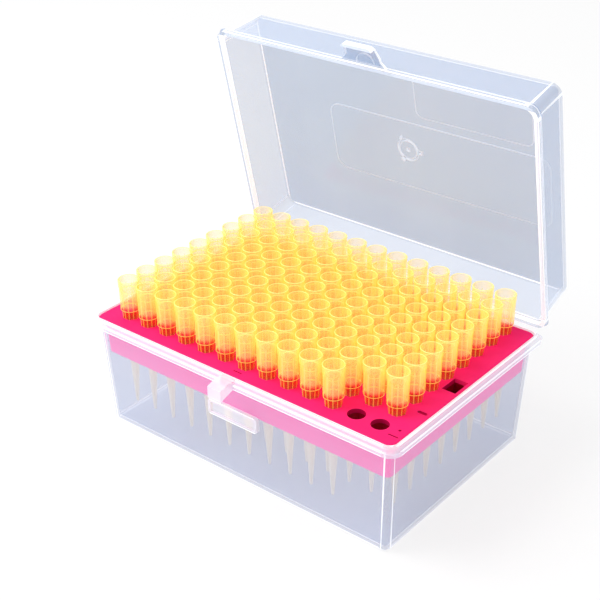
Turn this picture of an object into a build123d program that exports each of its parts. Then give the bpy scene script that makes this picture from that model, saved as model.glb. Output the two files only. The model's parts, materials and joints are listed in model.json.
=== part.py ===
from build123d import *
import math
import os

# Hinged rack box for 200 microlitre pipette tips, standing open.
#
# Frame: origin at the centre of the tub's underside, +X along the long side,
# -Y to the front, where the latch is, +Y to the hinge, +Z up. Millimetres.

# ---- Tip lattice, as large as the deck takes ----
PITCH = 9.0
LATTICE_BACK = 1.0  # the lattice sits this far behind the middle of the deck
EMPTY_SEATS = 2  # at the right end of the front row

# ---- One tip: a fluted collar above a long cone ----
SIDES = 6  # flats round each tip and each seat in the rack
COLLAR_RADIUS = 3.75
COLLAR_FOOT_RADIUS = 3.5
COLLAR_LENGTH = 11.6
NECK_RADIUS = 3.0
ORIFICE_RADIUS = 0.25
ORIFICE_WALL = 0.25
BORE_RADIUS = 3.2
TIP_LENGTH = 50.0
MOUTH_HEIGHT = 14.8  # mouth above the deck
SEAT_CLEARANCE = 0.25

# ---- Rack: a flat deck with a skirt ----
DECK_LENGTH = 127.6
DECK_WIDTH = 85.4
DECK_THICKNESS = 1.6
DECK_CORNER = 2.6
DECK_EDGE = 0.5
SKIRT_DEPTH = 14.2  # from the deck's top to the skirt's lower edge
SKIRT_WALL = 1.0
SKIRT_CORNER = 2.0
OPEN_HOLE_RADIUS = 3.0
LIFT_SLOT = (5.0, 7.8)
LIFT_SLOT_MARGIN = 1.2  # from the slot to the deck's end
LIFT_SLOT_DEPTH = 4.6  # it also notches the top of the skirt
LIFT_SLOT_FRONT = 2.5  # the slots sit this far in front of the deck's middle
LIFT_SLOT_WEB = 0.5  # least width between a slot and the last hole
MARK_DEPTH = 0.4
MARK_MARGIN = 3.1  # from the deck's edges
MARK_SLOT = (3.6, 1.3)
MARK_SLOT_FRONT = 20.8  # from the deck's front edge, as the next two
MARK_DOT = 0.5
MARK_DOT_FRONT = 8.7
MARK_BAR = (3.6, 0.5)
MARK_BAR_FRONT = 5.1

# ---- Tub: a drafted shell with a ledge, a rim and a flange ----
DECK_TOP = 43.2
RIM_ABOVE_DECK = 0.2
WALL = 1.2
FLOOR = 1.4
DRAFT = 2.6
RACK_CLEARANCE = 0.3
LEDGE = 1.5  # how far the ledge reaches under the deck
RIM_WALL = 0.9
FLANGE_OVERHANG = 1.3
FLANGE_HEIGHT = 3.2
FLANGE_BAND = 1.6  # upright part of the flange's outer face
TUB_CORNER = 2.6
FLANGE_CORNER = 4.6
FOOT_EDGE = 0.9

# ---- Latch: a catch on the tub, a lipped tab on the lid ----
CATCH_WIDTH = 5.6
CATCH_REACH = 6.0  # beyond the flange
CATCH_NOSE = 4.2  # height of its front face
CATCH_BEVEL_RUN = 3.3
CATCH_BEVEL_DROP = 1.0
PAD_WIDTH = 21.4
PAD_HEIGHT = 5.8
PAD_BELOW_RIM = 12.7
PAD_PROUD = 1.4
PAD_CORNER = 1.2
PAD_EDGE = 1.0
PAD_POCKET = 0.8
TAB_ROOT_WIDTH = 14.4
TAB_TIP_WIDTH = 12.6
TAB_GUSSET = 2.2
TAB_CORNER = 1.6
TAB_LIP = 1.8  # below the catch's bevel
TAB_THICKNESS = 1.1
BOSS_RADIUS = 3.6
BOSS_HEIGHT = 0.8
LATCH_CLEARANCE = 0.4

# ---- Lid: a shallow drafted shell, open by LID_ANGLE ----
LID_ANGLE = 77.0
LID_DEPTH = 19.6
LID_WALL = 1.1
LID_DRAFT = 3.2
LID_GAP = 0.2  # between the closed lid and the rim
LID_INSET = 0.7  # the lid's flange stands this far inside the tub's
LID_FLANGE_OVERHANG = 1.2
LID_FLANGE_HEIGHT = 3.0
LID_CORNER = 5.0
LID_EDGE = 1.2
REBATE_WIDTH = 0.7
REBATE_DEPTH = 1.6
PANEL_RELIEF = 0.3
FIELD = (92.0, 28.0)  # the larger sunk panel on the top
FIELD_CORNER = 4.5
FIELD_SIDE = 6.4  # from the lid's right side
FIELD_BACK = 2.2  # behind the top's middle
LABEL = (47.0, 17.0)  # the label's sunk panel
LABEL_CORNER = 3.0
LABEL_SIDE = 12.4
LABEL_FRONT = 23.6  # in front of the top's middle
GATE_RADIUS = 4.4
GATE_RING = 0.7
GATE_HEIGHT = 0.8
GATE_NUB = (1.8, 1.2)

# ---- Hinge: two moulded pins on the tub, two knuckles on the lid ----
HINGE_SPREAD = 80.0
PIN_RADIUS = 0.9
PIN_CLEARANCE = 0.2
KNUCKLE_WALL = 0.7
KNUCKLE_WIDTH = 10.0
KNUCKLE_GAP = 0.4
SHOULDER_RADIUS = 1.2
SHOULDER_LENGTH = 3.0
HINGE_BELOW_RIM = 1.2
HINGE_INSIDE = 0.2  # the axis lies this far inside the flange's back face
HEEL_THICKNESS = 1.1
HEEL_LENGTH = 2.2
HEEL_WIDTH = 8.0
HEEL_SPREAD = 48.0
STOP_GAP = 0.2

# ---- Sizes that follow ----
rim_top = DECK_TOP + RIM_ABOVE_DECK
ledge_top = DECK_TOP - DECK_THICKNESS
recess = (DECK_LENGTH + 2 * RACK_CLEARANCE, DECK_WIDTH + 2 * RACK_CLEARANCE)
rim = tuple(side + 2 * RIM_WALL for side in recess)
flange = tuple(side + 2 * FLANGE_OVERHANG for side in rim)
flange_foot = rim_top - FLANGE_HEIGHT
shoulder = FLANGE_HEIGHT - FLANGE_BAND
inner = tuple(side - 2 * LEDGE - 2 * RACK_CLEARANCE for side in recess)
slope = math.tan(math.radians(DRAFT))
inside_corner = TUB_CORNER - WALL


def inside(height):
    """Length and width of the tub's hollow at a height above the table."""
    return tuple(side - 2 * slope * (ledge_top - height) for side in inner)


def outside(height):
    return tuple(side + 2 * WALL for side in inside(height))


mouth = DECK_TOP + MOUTH_HEIGHT
collar_foot = mouth - COLLAR_LENGTH
tip_foot = mouth - TIP_LENGTH
cone_slope = (NECK_RADIUS - ORIFICE_RADIUS - ORIFICE_WALL) / (collar_foot - tip_foot)
seat_radius = NECK_RADIUS - cone_slope * (collar_foot - DECK_TOP) + SEAT_CLEARANCE

# A regular polygon's flats stand closer to its middle than its corners do.
flat = math.cos(math.pi / SIDES)


def lean(radius_low, radius_high, height):
    """Taper in degrees that takes a polygon from one corner radius to the other."""
    return math.degrees(math.atan((radius_low - radius_high) * flat / height))


def polygon(radius):
    """A tip's cross-section, with a flat towards the front."""
    return RegularPolygon(radius, SIDES, rotation=90 - 180 / SIDES)


# The lattice fills the deck between the lift slots, and inside the skirt.
end_margin = LIFT_SLOT_MARGIN + LIFT_SLOT[0] + LIFT_SLOT_WEB + OPEN_HOLE_RADIUS
side_margin = LEDGE + RACK_CLEARANCE + SKIRT_WALL + seat_radius * flat + LATTICE_BACK
columns = 1 + int((DECK_LENGTH - 2 * end_margin) / PITCH)
rows = 1 + int((DECK_WIDTH - 2 * side_margin) / PITCH)
spots = {
    (i, j): ((i - (columns - 1) / 2) * PITCH, (j - (rows - 1) / 2) * PITCH + LATTICE_BACK)
    for i in range(columns)
    for j in range(rows)
}
empty = [(columns - 1 - k, 0) for k in range(EMPTY_SEATS)]
filled = {key: spot for key, spot in spots.items() if key not in empty}


def block(plane, size, corner, height, draft_angle, middle=(0, 0)):
    """A box raised from a plane, its sides drafted inwards and its four corners rounded."""
    with BuildPart() as shape:
        with BuildSketch(plane):
            with Locations(middle):
                Rectangle(*size)
        extrude(amount=height)
        rise = Axis(plane.origin, plane.z_dir)
        draft(shape.faces().sort_by(rise)[1:-1], plane, draft_angle)
        fillet(shape.edges().sort_by(rise)[4:8], corner)
    return shape.part


# ---- Tub ----
tub_body = block(Plane.XY, outside(0), TUB_CORNER, flange_foot + FLANGE_BAND, -DRAFT)
tub_hollow = block(
    Plane.XY.offset(FLOOR), inside(FLOOR), inside_corner, ledge_top - FLOOR, -DRAFT
)
shoulder_slope = math.degrees(math.atan(FLANGE_OVERHANG / shoulder))
flange_top = block(
    Plane.XY.offset(flange_foot + FLANGE_BAND), flange, FLANGE_CORNER, shoulder, shoulder_slope
)

with BuildPart() as tub:
    add(tub_body)
    chamfer(tub.faces().sort_by(Axis.Z)[0].edges(), FOOT_EDGE)
    with BuildSketch(Plane.XY.offset(flange_foot)):
        RectangleRounded(*flange, FLANGE_CORNER)
    extrude(amount=FLANGE_BAND)
    add(flange_top)
    # The hollow below the ledge, and the rack's seat above it.
    add(tub_hollow, mode=Mode.SUBTRACT)
    with BuildSketch(Plane.XY.offset(ledge_top)):
        RectangleRounded(*recess, DECK_CORNER + RACK_CLEARANCE)
    extrude(amount=rim_top - ledge_top, mode=Mode.SUBTRACT)
    # The catch: a beaked block on the flange's front.
    catch_root = -rim[1] / 2 + RIM_WALL / 2
    catch_front = -flange[1] / 2 - CATCH_REACH
    with BuildSketch(Plane.YZ.offset(-CATCH_WIDTH / 2)):
        with BuildLine():
            Polyline(
                (catch_root, rim_top),
                (catch_front + CATCH_BEVEL_RUN, rim_top),
                (catch_front, rim_top - CATCH_BEVEL_DROP),
                (catch_front, rim_top - CATCH_BEVEL_DROP - CATCH_NOSE),
                (-flange[1] / 2, flange_foot),
                (catch_root, flange_foot),
                close=True,
            )
        make_face()
    extrude(amount=CATCH_WIDTH)
    # The thumb pad below the catch, with a shallow pocket.
    pad_middle = rim_top - PAD_BELOW_RIM - PAD_HEIGHT / 2
    pad_face = outside(pad_middle)[1] / 2 + PAD_PROUD
    pad_plane = Plane(origin=(0, -pad_face, pad_middle), x_dir=(1, 0, 0), z_dir=(0, 1, 0))
    with BuildSketch(pad_plane):
        RectangleRounded(PAD_WIDTH, PAD_HEIGHT, PAD_CORNER)
    extrude(amount=PAD_PROUD + WALL / 2)
    with BuildSketch(pad_plane):
        RectangleRounded(PAD_WIDTH - 2 * PAD_EDGE, PAD_HEIGHT - 2 * PAD_EDGE, PAD_CORNER / 2)
    extrude(amount=PAD_POCKET, mode=Mode.SUBTRACT)
    # Hinge: the flange is notched at each knuckle, and a pin crosses the notch.
    hinge_y = flange[1] / 2 - HINGE_INSIDE
    hinge_z = rim_top - HINGE_BELOW_RIM
    notch = KNUCKLE_WIDTH + 2 * KNUCKLE_GAP
    notch_front = outside(flange_foot)[1] / 2
    with BuildSketch(Plane.XY.offset(flange_foot)):
        with Locations((-HINGE_SPREAD / 2, notch_front), (HINGE_SPREAD / 2, notch_front)):
            Rectangle(notch, flange[1] - notch_front, align=(Align.CENTER, Align.MIN))
    extrude(amount=FLANGE_HEIGHT, mode=Mode.SUBTRACT)
    for x in (-HINGE_SPREAD / 2, HINGE_SPREAD / 2):
        with BuildSketch(Plane.YZ.offset(x - notch / 2)):
            with Locations((hinge_y, hinge_z)):
                Circle(PIN_RADIUS)
        extrude(amount=notch)
        for end in (x - notch / 2 - SHOULDER_LENGTH, x + notch / 2):
            with BuildSketch(Plane.YZ.offset(end)):
                with Locations((hinge_y, hinge_z)):
                    Circle(SHOULDER_RADIUS)
            extrude(amount=SHOULDER_LENGTH)
tub.part.label = "tub"

# ---- Rack: the skirt hangs just inside the tub's walls and shares their draft ----
skirt_foot = DECK_TOP - SKIRT_DEPTH
skirt_height = SKIRT_DEPTH - DECK_THICKNESS
skirt_size = tuple(side - 2 * RACK_CLEARANCE for side in inside(skirt_foot))
skirt_hollow_size = tuple(side - 2 * SKIRT_WALL for side in skirt_size)
skirt_plane = Plane.XY.offset(skirt_foot)
skirt = block(skirt_plane, skirt_size, SKIRT_CORNER, skirt_height, -DRAFT)
skirt_hollow = block(
    skirt_plane, skirt_hollow_size, SKIRT_CORNER - SKIRT_WALL, skirt_height, -DRAFT
)

with BuildPart() as rack:
    add(skirt)
    add(skirt_hollow, mode=Mode.SUBTRACT)
    with BuildSketch(Plane.XY.offset(ledge_top)):
        RectangleRounded(DECK_LENGTH, DECK_WIDTH, DECK_CORNER)
    extrude(amount=DECK_THICKNESS)
    chamfer(rack.faces().sort_by(Axis.Z)[-1].edges(), DECK_EDGE)
    # Flat-sided seats under the tips, round open holes where tips are gone.
    with BuildSketch(Plane.XY.offset(ledge_top)):
        with Locations(*filled.values()):
            polygon(seat_radius)
        with Locations(*[spots[key] for key in empty]):
            Circle(OPEN_HOLE_RADIUS)
    extrude(amount=DECK_THICKNESS, mode=Mode.SUBTRACT)
    slot_x = (DECK_LENGTH - LIFT_SLOT[0]) / 2 - LIFT_SLOT_MARGIN
    with BuildSketch(Plane.XY.offset(DECK_TOP)):
        with Locations((-slot_x, -LIFT_SLOT_FRONT), (slot_x, -LIFT_SLOT_FRONT)):
            Rectangle(*LIFT_SLOT)
    extrude(amount=-LIFT_SLOT_DEPTH, mode=Mode.SUBTRACT)
    # Small moulded marks along the right and front margins.
    mark_x = DECK_LENGTH / 2 - MARK_MARGIN
    deck_front = -DECK_WIDTH / 2
    with BuildSketch(Plane.XY.offset(DECK_TOP)):
        with Locations((mark_x, deck_front + MARK_SLOT_FRONT)):
            SlotOverall(*MARK_SLOT)
        with Locations((mark_x, deck_front + MARK_DOT_FRONT)):
            Circle(MARK_DOT)
        with Locations((mark_x, deck_front + MARK_BAR_FRONT), (0, deck_front + MARK_MARGIN)):
            Rectangle(*MARK_BAR)
    extrude(amount=-MARK_DEPTH, mode=Mode.SUBTRACT)
rack.part.label = "rack"

# ---- Lid, in a frame on the hinge axis whose +Z is up when the lid is shut ----
swing = math.radians(LID_ANGLE)
lid_frame = Plane(
    origin=(0, hinge_y, hinge_z),
    x_dir=(1, 0, 0),
    z_dir=(0, math.sin(swing), math.cos(swing)),
)
lid_side = Plane(origin=lid_frame.origin, x_dir=lid_frame.y_dir, z_dir=lid_frame.x_dir)
lid_foot = rim_top + LID_GAP - hinge_z
lid_flange = tuple(side - 2 * LID_INSET for side in flange)
lid_outer = tuple(side - 2 * LID_FLANGE_OVERHANG for side in lid_flange)
lid_inner = tuple(side - 2 * LID_WALL for side in lid_outer)
lid_rebate = tuple(side + 2 * REBATE_WIDTH for side in lid_inner)
lid_middle = (0, -hinge_y)
panel_top = lid_foot + LID_DEPTH
outer_corner = LID_CORNER - LID_FLANGE_OVERHANG
front_edge = -hinge_y - lid_flange[1] / 2
back_edge = -hinge_y + lid_flange[1] / 2

lid_plane = lid_frame.offset(lid_foot)
flange_band = LID_FLANGE_HEIGHT - LID_FLANGE_OVERHANG
lid_body = block(lid_plane, lid_outer, outer_corner, LID_DEPTH, LID_DRAFT, lid_middle)
lid_hollow = block(
    lid_plane, lid_inner, outer_corner - LID_WALL, LID_DEPTH - LID_WALL, LID_DRAFT, lid_middle
)
lid_shoulder = block(
    lid_plane.offset(flange_band), lid_flange, LID_CORNER, LID_FLANGE_OVERHANG, 45, lid_middle
)

with BuildPart() as lid:
    add(lid_body)
    top_face = lid.faces().sort_by(Axis(lid_frame.origin, lid_frame.z_dir))[-1]
    chamfer(top_face.edges(), LID_EDGE)
    with BuildSketch(lid_plane):
        with Locations(lid_middle):
            RectangleRounded(*lid_flange, LID_CORNER)
    extrude(amount=flange_band)
    add(lid_shoulder)
    # The hollow, wider by a shallow rebate at the rim.
    add(lid_hollow, mode=Mode.SUBTRACT)
    with BuildSketch(lid_plane):
        with Locations(lid_middle):
            RectangleRounded(*lid_rebate, outer_corner - LID_WALL + REBATE_WIDTH)
    extrude(amount=REBATE_DEPTH, mode=Mode.SUBTRACT)
    # The top's two sunk panels, and the raised ring with three nubs at the gate.
    with BuildSketch(lid_frame.offset(panel_top)):
        with Locations(((lid_outer[0] - FIELD[0]) / 2 - FIELD_SIDE, FIELD_BACK - hinge_y)):
            RectangleRounded(*FIELD, FIELD_CORNER)
        with Locations(((lid_outer[0] - LABEL[0]) / 2 - LABEL_SIDE, -LABEL_FRONT - hinge_y)):
            RectangleRounded(*LABEL, LABEL_CORNER)
    extrude(amount=-PANEL_RELIEF, mode=Mode.SUBTRACT)
    with BuildSketch(lid_frame.offset(panel_top - PANEL_RELIEF)):
        with Locations(lid_middle):
            Circle(GATE_RADIUS)
            with PolarLocations(GATE_RADIUS, 3):
                Rectangle(*GATE_NUB)
            Circle(GATE_RADIUS - GATE_RING, mode=Mode.SUBTRACT)
            Circle(GATE_RING)
    extrude(amount=GATE_HEIGHT)
    # The tab: over the catch and down its bevel, with a short lip before its nose.
    nose = catch_front - hinge_y
    over_catch = rim_top - hinge_z + LATCH_CLEARANCE
    lip_face = nose - LATCH_CLEARANCE
    lip_top = over_catch - CATCH_BEVEL_DROP
    lip_foot = lip_top - TAB_LIP
    with BuildSketch(lid_side.offset(-TAB_ROOT_WIDTH / 2 - TAB_GUSSET)):
        with BuildLine():
            Polyline(
                (front_edge + LID_FLANGE_OVERHANG, over_catch),
                (nose + CATCH_BEVEL_RUN, over_catch),
                (lip_face, lip_top),
                (lip_face, lip_foot),
                (lip_face - TAB_THICKNESS, lip_foot),
                (lip_face - TAB_THICKNESS, lip_top + TAB_THICKNESS / 2),
                (nose + CATCH_BEVEL_RUN, over_catch + TAB_THICKNESS),
                (front_edge + LID_FLANGE_OVERHANG, over_catch + TAB_THICKNESS),
                close=True,
            )
        make_face()
    extrude(amount=TAB_ROOT_WIDTH + 2 * TAB_GUSSET)
    # Its outline from above: gussets at the root, then a taper to rounded corners.
    tab_end = lip_face - TAB_THICKNESS
    with BuildSketch(lid_frame.offset(lip_foot)):
        for side in (-1, 1):
            with BuildLine():
                Polyline(
                    (side * (TAB_ROOT_WIDTH / 2 + TAB_GUSSET), front_edge),
                    (side * TAB_ROOT_WIDTH / 2, front_edge - TAB_GUSSET),
                    (side * TAB_TIP_WIDTH / 2, tab_end + TAB_CORNER),
                )
                JernArc(
                    (side * TAB_TIP_WIDTH / 2, tab_end + TAB_CORNER),
                    (0, -1),
                    TAB_CORNER,
                    -side * 90,
                )
                Polyline(
                    (side * (TAB_TIP_WIDTH / 2 - TAB_CORNER), tab_end),
                    (side * (TAB_ROOT_WIDTH / 2 + TAB_GUSSET), tab_end),
                    (side * (TAB_ROOT_WIDTH / 2 + TAB_GUSSET), front_edge),
                )
            make_face()
    extrude(amount=over_catch + TAB_THICKNESS - lip_foot, mode=Mode.SUBTRACT)
    # A half-round boss stiffens its root.
    with BuildSketch(lid_frame.offset(over_catch)):
        with Locations((0, front_edge)):
            Circle(BOSS_RADIUS)
            Rectangle(2 * BOSS_RADIUS, BOSS_RADIUS, align=(Align.CENTER, Align.MIN), mode=Mode.SUBTRACT)
    extrude(amount=TAB_THICKNESS + BOSS_HEIGHT)
    # Knuckles: a barrel round each pin, with a web up into the lid's flange.
    barrel_radius = PIN_RADIUS + PIN_CLEARANCE + KNUCKLE_WALL
    for x in (-HINGE_SPREAD / 2, HINGE_SPREAD / 2):
        with BuildSketch(lid_side.offset(x - KNUCKLE_WIDTH / 2)):
            Circle(barrel_radius)
            with Locations((-barrel_radius / 2, 0)):
                Rectangle(barrel_radius, lid_foot + LID_FLANGE_HEIGHT / 2, align=(Align.CENTER, Align.MIN))
            Circle(PIN_RADIUS + PIN_CLEARANCE, mode=Mode.SUBTRACT)
        extrude(amount=KNUCKLE_WIDTH)
    # Heels: behind the hinge, they meet the tub's flange when the lid is open.
    stop = HINGE_INSIDE + STOP_GAP
    heel_top = (stop - stop * math.cos(swing)) / math.sin(swing)
    heel_foot = (stop - HEEL_LENGTH * math.cos(swing)) / math.sin(swing)
    for x in (-HEEL_SPREAD / 2, HEEL_SPREAD / 2):
        with BuildSketch(lid_side.offset(x - HEEL_WIDTH / 2)):
            with BuildLine():
                Polyline(
                    (back_edge - LID_FLANGE_OVERHANG / 2, lid_foot),
                    (stop, lid_foot),
                    (stop, heel_top),
                    (HEEL_LENGTH, heel_foot),
                    (HEEL_LENGTH, heel_foot + HEEL_THICKNESS),
                    (stop + HEEL_THICKNESS, lid_foot + HEEL_THICKNESS),
                    (back_edge - LID_FLANGE_OVERHANG / 2, lid_foot + HEEL_THICKNESS),
                    close=True,
                )
            make_face()
        extrude(amount=HEEL_WIDTH)
lid.part.label = "lid"

# ---- Tips: one, a hollow shell of drafted prisms, and its copies by column ----
def horn(foot, top, foot_radius, top_radius):
    """An upright prism of the tip's cross-section, drafted from foot to top."""
    with BuildPart() as shape:
        with BuildSketch(Plane.XY.offset(foot)):
            polygon(foot_radius)
        extrude(amount=top - foot)
        sides = shape.faces().sort_by(Axis.Z)[1:-1]
        draft(sides, Plane.XY.offset(foot), lean(foot_radius, top_radius, top - foot))
    return shape.part


collar = horn(collar_foot, mouth, COLLAR_FOOT_RADIUS, COLLAR_RADIUS)
cone = horn(tip_foot, collar_foot, ORIFICE_RADIUS + ORIFICE_WALL, NECK_RADIUS)
bore = horn(tip_foot, mouth, ORIFICE_RADIUS, BORE_RADIUS)

with BuildPart() as tip:
    add(collar)
    add(cone)
    add(bore, mode=Mode.SUBTRACT)

tip_columns = []
for i in range(columns):
    with BuildPart() as tip_column:
        with Locations(*[filled[i, j] for j in range(rows) if (i, j) in filled]):
            add(tip.part)
    tip_column.part.label = f"tip_column_{i + 1:02d}"
    tip_columns.append(tip_column.part)

os.makedirs("parts", exist_ok=True)
for piece in [tub.part, rack.part, lid.part] + tip_columns:
    export_step(piece, f"parts/{piece.label}.step")
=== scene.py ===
import json
import math

import bmesh
import bpy
from mathutils import Matrix, Vector


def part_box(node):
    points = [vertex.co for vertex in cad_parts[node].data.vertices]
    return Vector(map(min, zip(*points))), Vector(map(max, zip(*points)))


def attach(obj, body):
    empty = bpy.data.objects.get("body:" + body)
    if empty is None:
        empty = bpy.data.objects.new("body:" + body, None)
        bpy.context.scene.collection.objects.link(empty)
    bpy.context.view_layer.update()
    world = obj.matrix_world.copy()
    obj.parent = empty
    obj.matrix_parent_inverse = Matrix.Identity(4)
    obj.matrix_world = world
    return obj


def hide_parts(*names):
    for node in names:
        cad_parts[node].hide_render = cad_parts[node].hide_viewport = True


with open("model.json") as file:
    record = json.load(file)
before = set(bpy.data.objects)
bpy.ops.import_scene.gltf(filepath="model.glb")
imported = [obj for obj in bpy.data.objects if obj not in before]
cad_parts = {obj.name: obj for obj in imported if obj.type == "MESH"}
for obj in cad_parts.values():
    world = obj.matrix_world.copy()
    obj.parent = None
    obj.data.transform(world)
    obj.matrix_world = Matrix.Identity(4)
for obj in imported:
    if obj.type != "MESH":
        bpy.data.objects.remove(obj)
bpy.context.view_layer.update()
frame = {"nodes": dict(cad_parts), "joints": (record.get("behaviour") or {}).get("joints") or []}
nodes = frame["nodes"]
MM = 0.001

# ---- Tub ----
# The tub is injection moulded in clear polypropylene, so its walls are slightly milky. They
# carry a faint painted glow, and the white lines along its rounded edges are painted
# highlights. Flange, catch, thumb pad and hinge pins come out of the same mould.


class Socket:
    """A shader value that takes + and * with numbers and with other values."""

    def __init__(self, tree, link):
        self.tree = tree
        self.link = link

    def math(self, operation, *values):
        return node(self.tree, "ShaderNodeMath", {"operation": operation}, values)

    def __add__(self, other):
        return self.math("ADD", self, other)

    def __mul__(self, other):
        return self.math("MULTIPLY", self, other)

    __radd__ = __add__
    __rmul__ = __mul__


def node(tree, kind, settings=None, inputs=(), output=0):
    """Adds a shader node, sets it up, feeds its sockets and returns one of its outputs."""
    made = tree.nodes.new(kind)
    for name, value in (settings or {}).items():
        setattr(made, name, value)
    pairs = inputs.items() if isinstance(inputs, dict) else enumerate(inputs)
    for key, value in pairs:
        if isinstance(value, Socket):
            tree.links.new(value.link, made.inputs[key])
        else:
            made.inputs[key].default_value = value
    return Socket(tree, made.outputs[output]) if made.outputs else None


def new_material(name):
    """An empty node material and its tree."""
    material = bpy.data.materials.new(name)
    material.use_nodes = True
    material.node_tree.nodes.clear()
    return material, material.node_tree


def finish_material(tree, shader):
    """Joins the last shader to the material's output."""
    node(tree, "ShaderNodeOutputMaterial", None, {"Surface": shader})


def ramp(tree, value, low, high):
    """0 below low, 1 above high, and an even slope between them that starts and ends softly."""
    soft = {"interpolation_type": "SMOOTHSTEP"}
    return node(tree, "ShaderNodeMapRange", soft, {"Value": value, "From Min": low, "From Max": high})


def mix(tree, factor, first, second):
    """A colour between two others."""
    return node(tree, "ShaderNodeMix", {"data_type": "RGBA"}, {0: factor, 6: first, 7: second}, output=2)


# How much denser the haze gets along the plastic's flow lines.
HAZE_SWING = 0.04


def clear_plastic(name, haze_tint, slant_tint, open_alpha, slant_alpha, painted_glow=0.0):
    """Clear plastic: a little haze face on, denser and in a second tint where it turns away, with a painted
    glow.
    """
    material, tree = new_material(name)
    coords = node(tree, "ShaderNodeTexCoord", output=3)
    slant = node(tree, "ShaderNodeLayerWeight", None, {"Blend": 0.35}, output=1)
    flow = node(
        tree,
        "ShaderNodeTexNoise",
        None,
        {"Vector": coords, "Scale": 22.0, "Detail": 2.0, "Roughness": 0.5},
    )
    haze = ramp(tree, flow, 0.2, 0.8) * HAZE_SWING + open_alpha
    shader = node(
        tree,
        "ShaderNodeBsdfPrincipled",
        None,
        {
            "Base Color": mix(tree, slant, haze_tint, slant_tint),
            "Roughness": 0.08,
            "IOR": 1.49,
            "Alpha": slant * (slant_alpha - open_alpha) + haze,
            "Emission Color": haze_tint,
            "Emission Strength": painted_glow,
        },
    )
    finish_material(tree, shader)
    return material


# Each clear finish carries a painted glow, an emission that stands in for light.
tub_wall = clear_plastic("tub_wall", (0.5, 0.56, 0.75, 1), (0.5, 0.59, 0.8, 1), 0.19, 0.45, 0.1)
# The milky band is painted whiter, with a stronger painted glow, for the light in the thick rim, flange,
# catch and pad.
milky_glow_band = clear_plastic("milky_glow_band", (0.95, 0.93, 1.0, 1), (0.8, 0.84, 0.96, 1), 0.38, 0.7, 0.12)
painted_highlight = clear_plastic("painted_highlight", (1.0, 1.0, 1.0, 1), (0.62, 0.7, 0.85, 1), 0.85, 0.9, 0.3)

# The places of the finishes in a clear piece's list of materials; the third is a painted highlight, and the
# fourth the lid's upright walls, painted lighter.
WALL, BAND, HIGHLIGHT, LIT_SIDE = range(4)
# Faces meet in a sharp edge above the first angle, are part of one rounding above the
# second, and count as one flat wall below the third.
SHARP = math.radians(25)
SOFT = math.radians(4)
FLAT = math.radians(0.4)
SAME_POINT = 2e-6
# A rounded edge needs this many times its own width beside it.
ROOM = 2.5
# The widest facet that counts as part of a rounding, the shortest edge and the smallest
# wall that take a painted white highlight line, and the line's width.
SLIM = 1.2 * MM
LONG = 8.0 * MM
BROAD = 3 * SLIM * LONG
HIGHLIGHT_WIDTH = 0.3 * MM


def is_sharp(edge):
    return len(edge.link_faces) == 2 and edge.calc_face_angle() > SHARP


def has_room(edge, width):
    """True where the soft edges that end at a sharp edge leave it room to be rounded."""
    sides = [side for vert in edge.verts for side in vert.link_edges if not is_sharp(side)]
    return all(side.calc_length() > ROOM * width for side in sides)


def draw_edge_highlights(bm):
    """Paints a thin white highlight strip onto each wall beside its rounded edges."""
    starts = []
    for edge in bm.edges:
        if len(edge.link_faces) == 2 and edge.calc_length() > LONG and SOFT < edge.calc_face_angle() < SHARP:
            faces = sorted(edge.link_faces, key=lambda face: face.calc_area())
            if faces[0].calc_area() < SLIM * edge.calc_length() and faces[1].calc_area() > BROAD:
                starts.append((edge, faces[1]))
    for edge, wall in starts:
        along = (edge.verts[1].co - edge.verts[0].co).normalized()
        inward = wall.normal.cross(along)
        middle = (edge.verts[0].co + edge.verts[1].co) / 2
        if inward.dot(wall.calc_center_median() - middle) < 0:
            inward.negate()
        near = [face for face in edge.link_faces if face.calc_area() > BROAD]
        geom = [part for face in near for part in [face, *face.edges, *face.verts]]
        cut = bmesh.ops.bisect_plane(
            bm, geom=list(dict.fromkeys(geom)), plane_co=middle + inward * HIGHLIGHT_WIDTH, plane_no=inward
        )
        largest_strip = 1.5 * HIGHLIGHT_WIDTH * edge.calc_length()
        for part in cut["geom"]:
            if isinstance(part, bmesh.types.BMFace) and part.calc_area() < largest_strip:
                part.material_index = HIGHLIGHT


def new_piece(name, bm, materials):
    """An object with the form that bm holds and these materials."""
    mesh = bpy.data.meshes.new(name)
    bm.to_mesh(mesh)
    bm.free()
    for material in materials:
        mesh.materials.append(material)
    piece = bpy.data.objects.new(name, mesh)
    bpy.context.scene.collection.objects.link(piece)
    return piece


def moulded(name, body, slot, materials, zone, line_width, outlined=None):
    """A piece that has its form and place from the frame, and whose edges are rounded and painted as
    highlights.

    The zone gives each face its finish, and outlined picks faces to frame with a painted highlight line.
    """
    bm = bmesh.new()
    bm.from_mesh(nodes[name].data)
    bmesh.ops.remove_doubles(bm, verts=bm.verts, dist=SAME_POINT)
    bmesh.ops.dissolve_limit(bm, angle_limit=FLAT, verts=bm.verts, edges=bm.edges)
    for face in bm.faces:
        face.material_index = zone(face.calc_center_median() / MM, face.normal)
    # The rounded edges take the painted highlight finish.
    bmesh.ops.bevel(
        bm,
        geom=[edge for edge in bm.edges if is_sharp(edge) and has_room(edge, line_width)],
        offset=line_width,
        offset_type="OFFSET",
        segments=2,
        profile=0.5,
        affect="EDGES",
        clamp_overlap=True,
        material=HIGHLIGHT,
    )
    if slot == "clear_plastic":
        draw_edge_highlights(bm)
    if outlined:
        floors = [face for face in bm.faces if outlined(face.calc_center_median() / MM, face.normal)]
        ring = bmesh.ops.inset_region(bm, faces=floors, thickness=HIGHLIGHT_WIDTH, use_even_offset=True)
        for face in ring["faces"]:
            face.material_index = HIGHLIGHT
    for face in bm.faces:
        face.smooth = True
    for edge in bm.edges:
        edge.smooth = not is_sharp(edge)
    piece = new_piece(f"{name}_moulding", bm, materials)
    flats = piece.modifiers.new("flat_walls", "WEIGHTED_NORMAL")
    flats.keep_sharp = True
    flats.weight = 100
    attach(piece, body)
    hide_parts(name)


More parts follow.
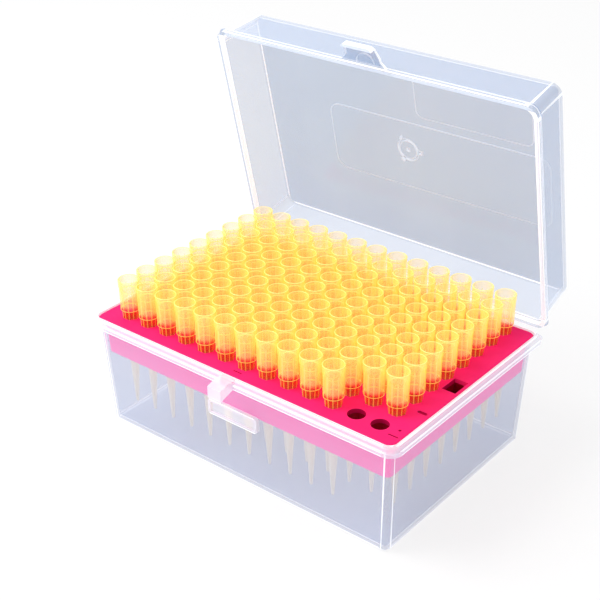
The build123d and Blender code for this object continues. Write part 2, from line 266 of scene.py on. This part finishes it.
# Places on the tub in millimetres: its rim, its flange, the catch in front of the flange
# and the thumb pad below it. A face counts as being at one of them if it is this close.
RIM_TOP = 43.4
FLANGE_FOOT = 40.2
FLANGE_FRONT = -45.2
CATCH_FOOT = FLANGE_FOOT - 3
CATCH_ROOT = FLANGE_FRONT - 0.2
PAD_ROOT = -41.9
PAD_FOOT, PAD_TOP = 24, 31
PAD_HALF = 11
CLOSE = 0.1
# A face is level where its normal points up or down by more than this.
LEVEL = 0.9
# A corner's first facets turn by this many degrees from the walls beside it; the facets between take a
# painted highlight.
FIRST_TURN, LAST_TURN = 3, 13


def at_corner(centre, normal):
    """True for the outer facets where a flat upright wall turns into a rounded corner, which take a painted
    highlight.
    """
    outwards = centre.x * normal.x + centre.y * normal.y > 0
    upright = abs(normal.z) < 0.3
    turn = math.degrees(math.atan2(normal.y, normal.x)) % 90
    return outwards and upright and FIRST_TURN < min(turn, 90 - turn) < LAST_TURN


def tub_zone(centre, normal):
    """Which of the tub's finishes a face has: rim, catch, flange and pad are milky and painted whiter with a
    stronger glow, and the corners' first facets take a painted highlight.
    """
    on_rim = centre.z > RIM_TOP - CLOSE and normal.z > LEVEL
    on_catch = centre.z > CATCH_FOOT and centre.y < CATCH_ROOT
    on_flange = centre.z > FLANGE_FOOT - CLOSE and abs(normal.z) < 0.95
    on_pad = abs(centre.x) < PAD_HALF and centre.y < PAD_ROOT and PAD_FOOT < centre.z < PAD_TOP
    if on_rim or on_catch or on_flange or on_pad:
        return BAND
    return HIGHLIGHT if at_corner(centre, normal) else WALL


moulded("tub", "base", "clear_plastic", [tub_wall, milky_glow_band, painted_highlight], tub_zone, 0.4 * MM)

# ---- Rack ----
# The rack is one pink moulding, a flat deck with a short skirt. It is opaque and has a
# satin face, and its edges and holes are crisp. Its rounded edges carry a painted
# highlight, the walls of its holes, slots and marks painted shade, and its deck and skirt
# a painted glow.


def rack_plastic(name, bright, deep, painted_glow=0.0):
    """Pink polypropylene with a faint flow pattern, a satin gloss and a painted glow."""
    material, tree = new_material(name)
    coords = node(tree, "ShaderNodeTexCoord", output=3)
    flow = node(
        tree,
        "ShaderNodeTexNoise",
        None,
        {"Vector": coords, "Scale": 60.0, "Detail": 3.0, "Roughness": 0.5},
    )
    grain = node(
        tree,
        "ShaderNodeTexNoise",
        None,
        {"Vector": coords, "Scale": 2500.0, "Detail": 1.0, "Roughness": 0.5},
    )
    bump = node(tree, "ShaderNodeBump", None, {"Strength": 0.05, "Distance": 0.0001, "Height": grain})
    shader = node(
        tree,
        "ShaderNodeBsdfPrincipled",
        None,
        {
            "Base Color": mix(tree, ramp(tree, flow, 0.35, 0.75), bright, deep),
            "Roughness": ramp(tree, flow, 0.2, 0.8) * 0.1 + 0.45,
            "Specular IOR Level": 0.06,
            "Emission Color": bright,
            "Emission Strength": painted_glow,
            "Normal": bump,
        },
    )
    finish_material(tree, shader)
    return material


# The places of the finishes in the rack's list of materials. The one left out is the
# painted highlight, which the rounded edges have.
DECK, SKIRT, BORE_SHADE = 0, 1, 3
# Between which heights and how far out the walls of the holes, slots and marks lie, and
# the skirt's top, in millimetres.
SUNK_FOOT, SUNK_TOP = 41.7, 43.1
SUNK_HALF = (61.5, 40.5)
SKIRT_TOP = RIM_TOP - 1.9


def rack_zone(centre, normal):
    """The deck, the skirt, which gets a painted glow for the light it lets through, and the walls of the
    holes, slots and marks, in painted shade, take a finish each.
    """
    inside = abs(centre.x) < SUNK_HALF[0] and abs(centre.y) < SUNK_HALF[1]
    underneath = normal.z <= -0.5
    if SUNK_FOOT < centre.z < SUNK_TOP and inside and not underneath:
        return BORE_SHADE
    outwards = centre.x * normal.x + centre.y * normal.y > 0
    return SKIRT if outwards and centre.z < SKIRT_TOP else DECK


# Painted shade for the dark walls under the deck's openings.
rack_shade = rack_plastic("rack_shade", (0.36, 0.002, 0.02, 1), (0.3, 0.002, 0.015, 1))
# The deck and the skirt carry a painted glow, the skirt's lighter and stronger.
rack_pinks = [
    rack_plastic("rack_deck", (1.0, 0.02, 0.19, 1), (0.93, 0.016, 0.16, 1), 0.06),
    rack_plastic("rack_skirt_glow", (1.0, 0.06, 0.35, 1), (0.95, 0.05, 0.3, 1), 0.5),
    # A lighter pink as a painted highlight on the rounded edges.
    rack_plastic("rack_edge_highlight", (1.0, 0.05, 0.24, 1), (0.95, 0.04, 0.2, 1)),
    # A darker pink as painted shade on the walls of the holes, slots and marks.
    rack_plastic("rack_bore_shade", (0.55, 0.003, 0.075, 1), (0.5, 0.003, 0.065, 1)),
]
moulded("rack", "base", "pink_plastic", rack_pinks, rack_zone, 0.12 * MM)


PITCH = 9.0 * MM
ROWS = 9
DECK_TOP = 43.2 * MM
DECK_FOOT = 41.62 * MM
SLEEVE_FOOT = 37.0 * MM
SLEEVE_WALL = 0.2 * MM
HOLE = 3.3 * MM
# How far the frame's six-sided collars reach to the front and to the back.
COLLAR_FLAT = 3.75 * MM * math.cos(math.pi / 6)


def shade_sleeve_piece(name, bm):
    """Thin walls in painted shade that stand under the deck's openings, so that these read dark."""
    piece = new_piece(name, bm, [rack_shade])
    wall = piece.modifiers.new("wall", "SOLIDIFY")
    wall.thickness = SLEEVE_WALL
    wall.offset = 1
    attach(piece, "base")


column_names = sorted(name for name in nodes if name.startswith("tip_column"))
columns = [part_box(name) for name in column_names]
middles = [(high.x + low.x) / 2 for low, high in columns]
back_row = columns[0][1].y - COLLAR_FLAT
hole_places = [(x, back_row - row * PITCH) for x in middles for row in range(ROWS)]
# Dark sleeves of painted shade under the holes.
guides = bmesh.new()
for x, y in hole_places:
    middle = Matrix.Translation((x, y, (DECK_FOOT + SLEEVE_FOOT) / 2))
    bmesh.ops.create_cone(
        guides,
        segments=16,
        radius1=HOLE,
        radius2=HOLE,
        depth=DECK_FOOT - SLEEVE_FOOT,
        matrix=middle,
    )
shade_sleeve_piece("hole_shade_sleeves", guides)

# The lift slots lie at the deck's two ends: place, size across and along, and depth.
SLOT_PLACE = (59.25 * MM, -2.5 * MM)
SLOT_SIZE = (4.4 * MM, 7.9 * MM)
POCKET = 5.6 * MM
# Dark pockets of painted shade under the lift slots.
pockets = bmesh.new()
for x in (-SLOT_PLACE[0], SLOT_PLACE[0]):
    middle = Matrix.Translation((x, SLOT_PLACE[1], DECK_FOOT - POCKET / 2))
    bmesh.ops.create_cube(pockets, size=1, matrix=middle @ Matrix.Diagonal((*SLOT_SIZE, POCKET, 1)))
mouths = [face for face in pockets.faces if face.normal.z > LEVEL]
bmesh.ops.delete(pockets, geom=mouths, context="FACES_ONLY")
shade_sleeve_piece("slot_shade_pockets", pockets)

# ---- Tips ----
# A tip is a hollow cone of tinted polypropylene. It has a smooth band at its mouth, a
# fluted collar that the pipette grips, a ribbed neck that sits in the rack, and a long
# thin cone whose wall is so fine that the tint fades. Its plastic has a painted glow, its
# rings and one facet of each flute carry painted highlights, and its neck has the deck's
# pink light painted on.

FLUTES = 12
STEPS = 48
# The places of the finishes in a tip's list of materials; the rings and ribs are painted highlights.
CONE, RING_HIGHLIGHT, RIB_HIGHLIGHT = range(3)
TURNED_YELLOW = (1.0, 0.74, 0.06, 1)
# Between these heights the tint fades below the deck, and the deck's pink light is painted on above it.
FADE_FOOT = DECK_TOP - 8 * MM
NECK_TOP = 47.9 * MM
PINK_LIGHT_BAND = (NECK_TOP - 0.8 * MM, NECK_TOP + 0.6 * MM)


def tip_plastic(name, upper, painted_pink_light, lower, open_alpha, low_alpha, slant_alpha, painted_glow):
    """Tinted clear plastic with a painted glow, denser where it turns away, and paler below the rack.

    The neck is painted with the pink light that comes off the deck.
    """
    material, tree = new_material(name)
    coords = node(tree, "ShaderNodeTexCoord", output=3)
    height = node(tree, "ShaderNodeSeparateXYZ", None, [coords], output=2)
    above = ramp(tree, height, FADE_FOOT, DECK_TOP)
    slant = node(tree, "ShaderNodeLayerWeight", None, {"Blend": 0.4}, output=1)
    pink_light_mask = ramp(tree, height, *PINK_LIGHT_BAND)
    tinted = mix(tree, pink_light_mask, painted_pink_light, mix(tree, slant, upper, TURNED_YELLOW))
    colour = mix(tree, above, lower, tinted)
    shader = node(
        tree,
        "ShaderNodeBsdfPrincipled",
        None,
        {
            "Base Color": colour,
            "Roughness": 0.12,
            "IOR": 1.49,
            "Alpha": slant * (slant_alpha - open_alpha) + above * (open_alpha - low_alpha) + low_alpha,
            "Emission Color": colour,
            "Emission Strength": painted_glow,
        },
    )
    finish_material(tree, shader)
    return material


# Depth below the mouth, radius, and depth of the flutes, all in millimetres.
OUTSIDE = [
    (0.0, 3.62, 0),
    (0.12, 3.73, 0),
    (0.35, 3.75, 0),
    (2.6, 3.7, 0),
    (2.9, 3.62, 0),
    (3.2, 3.6, 0.18),
    (10.9, 3.5, 0.18),
    (11.3, 3.52, 0.05),
    (11.55, 3.45, 0),
    (11.65, 3.2, 0),
    (11.8, 3.05, 0.3),
    (16.6, 2.75, 0.28),
    (17.4, 2.62, 0),
    (30.0, 1.82, 0),
    (49.8, 0.52, 0),
    (50.0, 0.45, 0),
]
INSIDE = [
    (50.0, 0.25, 0),
    (30.0, 1.3, 0),
    (17.0, 2.2, 0),
    (12.0, 2.55, 0),
    (4.6, 2.95, 0),
    (4.3, 3.2, 0),
    (0.3, 3.3, 0),
    (0.08, 3.36, 0),
    (0.0, 3.45, 0),
]
# Rings of painted highlight at the mouth, at the step inside it and at the collar's foot:
# depths of their ends, and the least and the greatest radius.
RING_HIGHLIGHT_PLACES = [(0.0, 0.13, 3.2, 4.0), (4.25, 4.65, 2.9, 3.25), (11.25, 11.7, 3.1, 4.0)]
# Stripes of painted highlight on one facet of each flute along the collar and the neck: depths of their
# ends, and the least radius.
RIB_HIGHLIGHT_PLACES = [(3.0, 11.2, 3.3), (11.7, 17.0, 2.62)]


def turned_tip():
    """One tip with its mouth at the origin: a spun profile whose flutes are pressed in."""
    bm = bmesh.new()
    profile = OUTSIDE + INSIDE
    points = [bm.verts.new((radius * MM, 0, -depth * MM)) for depth, radius, _ in profile]
    edges = [bm.edges.new((points[k - 1], points[k])) for k in range(len(points))]
    bmesh.ops.spin(
        bm,
        geom=points + edges,
        cent=(0, 0, 0),
        axis=(0, 0, 1),
        angle=2 * math.pi,
        steps=STEPS,
        use_merge=True,
    )
    bmesh.ops.remove_doubles(bm, verts=bm.verts, dist=1e-7)
    bmesh.ops.recalc_face_normals(bm, faces=bm.faces)
    flute_at = {(round(depth, 3), round(radius, 3)): cut for depth, radius, cut in profile}
    for vert in bm.verts:
        radius = math.hypot(vert.co.x, vert.co.y)
        cut = flute_at[round(-vert.co.z / MM, 3), round(radius / MM, 3)]
        wave = 0.5 - 0.5 * math.cos(FLUTES * math.atan2(vert.co.y, vert.co.x))
        vert.co.xy *= 1 - cut * MM * wave / radius
    for face in bm.faces:
        face.smooth = True
        centre = face.calc_center_median() / MM
        radius = math.hypot(centre.x, centre.y)
        in_ring_highlight = any(top < -centre.z < foot and inner < radius < outer for top, foot, inner, outer in RING_HIGHLIGHT_PLACES)
        turn = math.degrees(math.atan2(centre.y, centre.x)) % (360 / FLUTES)
        on_rib_highlight = any(top < -centre.z < foot and inner < radius for top, foot, inner in RIB_HIGHLIGHT_PLACES)
        # Rings and one facet of each flute take painted highlights.
        face.material_index = RING_HIGHLIGHT if in_ring_highlight else RIB_HIGHLIGHT if on_rib_highlight and turn < 360 / STEPS else CONE
    mesh = bpy.data.meshes.new("one_tip")
    bm.to_mesh(mesh)
    bm.free()
    return mesh


BELOW_DECK = (0.95, 0.85, 0.64, 1)
PALE_RIM = (0.9, 0.8, 0.6, 1)
# The second colour of each is the deck's pink light, painted on the neck.
tip_yellow = tip_plastic(
    "tip_yellow", (1.0, 0.82, 0.28, 1), (0.82, 0.06, 0.02, 1), BELOW_DECK, 0.16, 0.42, 0.75, 0.23
)
# The rings and the ribs are painted highlights.
tip_ring_highlight = tip_plastic(
    "tip_ring_highlight", (1.0, 0.86, 0.34, 1), (1.0, 0.75, 0.15, 1), PALE_RIM, 0.75, 0.7, 0.95, 0.4
)
tip_rib_highlight = tip_plastic("tip_rib_highlight", (1.0, 0.87, 0.36, 1), (1.0, 0.68, 0.1, 1), PALE_RIM, 0.34, 0.4, 0.7, 0.3)
tip_plastics = [tip_yellow, tip_ring_highlight, tip_rib_highlight]
one_tip = turned_tip()


def tip_row(name):
    """The tips that stand in one column of the rack, from the hinge side to the front."""
    low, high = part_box(name)
    count = 1 + round((high.y - low.y - 2 * COLLAR_FLAT) / PITCH)
    bm = bmesh.new()
    for k in range(count):
        start = len(bm.verts)
        bm.from_mesh(one_tip)
        bm.verts.ensure_lookup_table()
        place = ((high.x + low.x) / 2, high.y - COLLAR_FLAT - k * PITCH, high.z)
        bmesh.ops.translate(bm, verts=bm.verts[start:], vec=place)
    piece = new_piece(f"{name}_tips", bm, tip_plastics)
    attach(piece, "base")
    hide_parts(name)


for name in column_names:
    tip_row(name)
bpy.data.meshes.remove(one_tip)

# ---- Lid ----
# The lid is moulded in the same clear plastic as the tub, a little denser. It leans back
# on its hinge, and its latch tab stands up from the front edge. Its upright walls are
# painted lighter than its top, and its rim, panel edges, tab and corners carry painted
# highlights.

hinge = frame["joints"][0]
hinge_place = Vector(hinge["pos_m"]) / MM
shut_angle = math.radians(hinge["range_deg"][0])
shutting = Matrix.Rotation(shut_angle, 3, Vector(hinge["axis"]))
# The upright walls take a lighter copy of the lid's plastic, painted light; both carry a faint painted glow.
lid_wall = clear_plastic("lid_wall", (0.1, 0.24, 0.5, 1), (0.66, 0.76, 0.95, 1), 0.27, 0.42, 0.04)
lid_side_lit = clear_plastic("lid_side_lit", (0.45, 0.55, 0.76, 1), (0.8, 0.87, 1.0, 1), 0.2, 0.4, 0.08)
# Places on the shut lid in millimetres: its foot, the step and the top of its flange,
# how far in the rim lies, its front, the latch tab, the top panel and what is sunk there.
LID_FOOT = 43.6
FLANGE_STEP = LID_FOOT + 1
FLANGE_TOP = LID_FOOT + 1.7
RIM_HALF = (62, 41)
RIM_FRONT = -44.6
TAB_ROOT = -44.7
LID_PANEL = 63.2
PANEL_EDGE = LID_PANEL - 0.35
PANEL_FLOOR = LID_PANEL - 0.3


def when_shut(centre, normal):
    """A face's place and normal with the lid shut, as the frame holds it open."""
    return shutting @ (centre - hinge_place) + hinge_place, shutting @ normal


def lid_zone(centre, normal):
    """Which of the lid's finishes a face has: painted highlights at the rim, panel edges, tab and corners,
    and painted light on the upright walls.
    """
    place, facing = when_shut(centre, normal)
    upright = abs(facing.z) < 0.5
    faces_down = facing.z < -LEVEL
    in_rim = max(abs(place.x) - RIM_HALF[0], abs(place.y) - RIM_HALF[1]) > 0 and place.y > RIM_FRONT
    if LID_FOOT - CLOSE < place.z < FLANGE_TOP and in_rim:
        inwards = place.x * facing.x + place.y * facing.y < 0
        if inwards or (faces_down and place.z > FLANGE_STEP):
            return HIGHLIGHT
        if faces_down:
            return BAND
    panel_edge = place.z > PANEL_EDGE and abs(place.x) < RIM_HALF[0]
    if upright and (panel_edge or place.y < TAB_ROOT):
        return HIGHLIGHT
    if at_corner(place, facing):
        return HIGHLIGHT
    return LIT_SIDE if upright else WALL


def lid_recess(centre, normal):
    """True for the floors of the top's sunk panels, which a painted highlight frames."""
    place, facing = when_shut(centre, normal)
    return facing.z > LEVEL and abs(place.z - PANEL_FLOOR) < CLOSE / 2


lid_plastics = [lid_wall, milky_glow_band, painted_highlight, lid_side_lit]
moulded("lid", "lid", "clear_plastic", lid_plastics, lid_zone, 0.4 * MM, lid_recess)

# ---- Bench, lights and camera ----
# A white bench, a bright surround and one large soft lamp from the upper left, so that
# the clear walls read by their edges.

bpy.ops.mesh.primitive_plane_add(size=6.0, location=(0, 0, -0.1 * MM))
bench = bpy.context.object
bench.name = "bench"


def seen_directly(tree):
    """1 for rays from the camera, off gloss or through clear plastic, and 0 for others."""
    camera_ray, glossy_ray, passing_ray = [
        node(tree, "ShaderNodeLightPath", output=kind)
        for kind in ("Is Camera Ray", "Is Glossy Ray", "Is Transmission Ray")
    ]
    return camera_ray.math("MAXIMUM", camera_ray.math("MAXIMUM", camera_ray, glossy_ray), passing_ray)


# How much of the bench is plain white to the eye, and how bright the surround is to the
# eye and as a light.
PLAIN = 0.72
SKY_SEEN = 1.0
SKY_LIGHT = 0.75

bench_white, bench_tree = new_material("bench_white")
lit_white = node(
    bench_tree,
    "ShaderNodeBsdfPrincipled",
    None,
    {"Base Color": (0.96, 0.96, 0.965, 1), "Roughness": 0.6},
)
plain_white = node(bench_tree, "ShaderNodeEmission", None, {"Color": (1, 1, 1, 1), "Strength": 1.0})
plain = seen_directly(bench_tree) * PLAIN
bench_shader = node(bench_tree, "ShaderNodeMixShader", None, [plain, lit_white, plain_white])
finish_material(bench_tree, bench_shader)
bench.data.materials.append(bench_white)

world = bpy.data.worlds.new("surround")
bpy.context.scene.world = world
world.use_nodes = True
sky = world.node_tree
sky.nodes.clear()
surround = node(
    sky,
    "ShaderNodeBackground",
    None,
    {"Color": (1, 1, 1, 1), "Strength": seen_directly(sky) * (SKY_SEEN - SKY_LIGHT) + SKY_LIGHT},
)
node(sky, "ShaderNodeOutputWorld", None, {"Surface": surround})

lamp_data = bpy.data.lights.new("window", "AREA")
lamp_data.energy = 5.0
lamp_data.shape = "SQUARE"
lamp_data.size = 0.5
lamp = bpy.data.objects.new("window", lamp_data)
bpy.context.scene.collection.objects.link(lamp)
lamp.location = (-0.45, -0.35, 0.75)
lamp.rotation_euler = (Vector((0, 0, 0.05)) - lamp.location).to_track_quat("-Z", "Y").to_euler()

CAMERA_PLACE = Vector((0.2383, -0.2992, 0.2634))
AZIMUTH = math.radians(39.207)
ELEVATION = math.radians(28.816)
ROLL = math.radians(-0.403)

camera_data = bpy.data.cameras.new("camera")
camera_data.sensor_width = 36.0
camera_data.lens = 76.176
camera_data.clip_start = 0.01
camera = bpy.data.objects.new("camera", camera_data)
bpy.context.scene.collection.objects.link(camera)
level = Matrix.Rotation(AZIMUTH, 3, "Z") @ Matrix.Rotation(math.pi / 2 - ELEVATION, 3, "X")
turned = level @ Matrix.Rotation(ROLL, 3, "Z")
camera.matrix_world = Matrix.Translation(CAMERA_PLACE) @ turned.to_4x4()
bpy.context.scene.camera = camera
bpy.context.scene.view_settings.view_transform = "Standard"
bpy.context.scene.cycles.transparent_max_bounces = 64
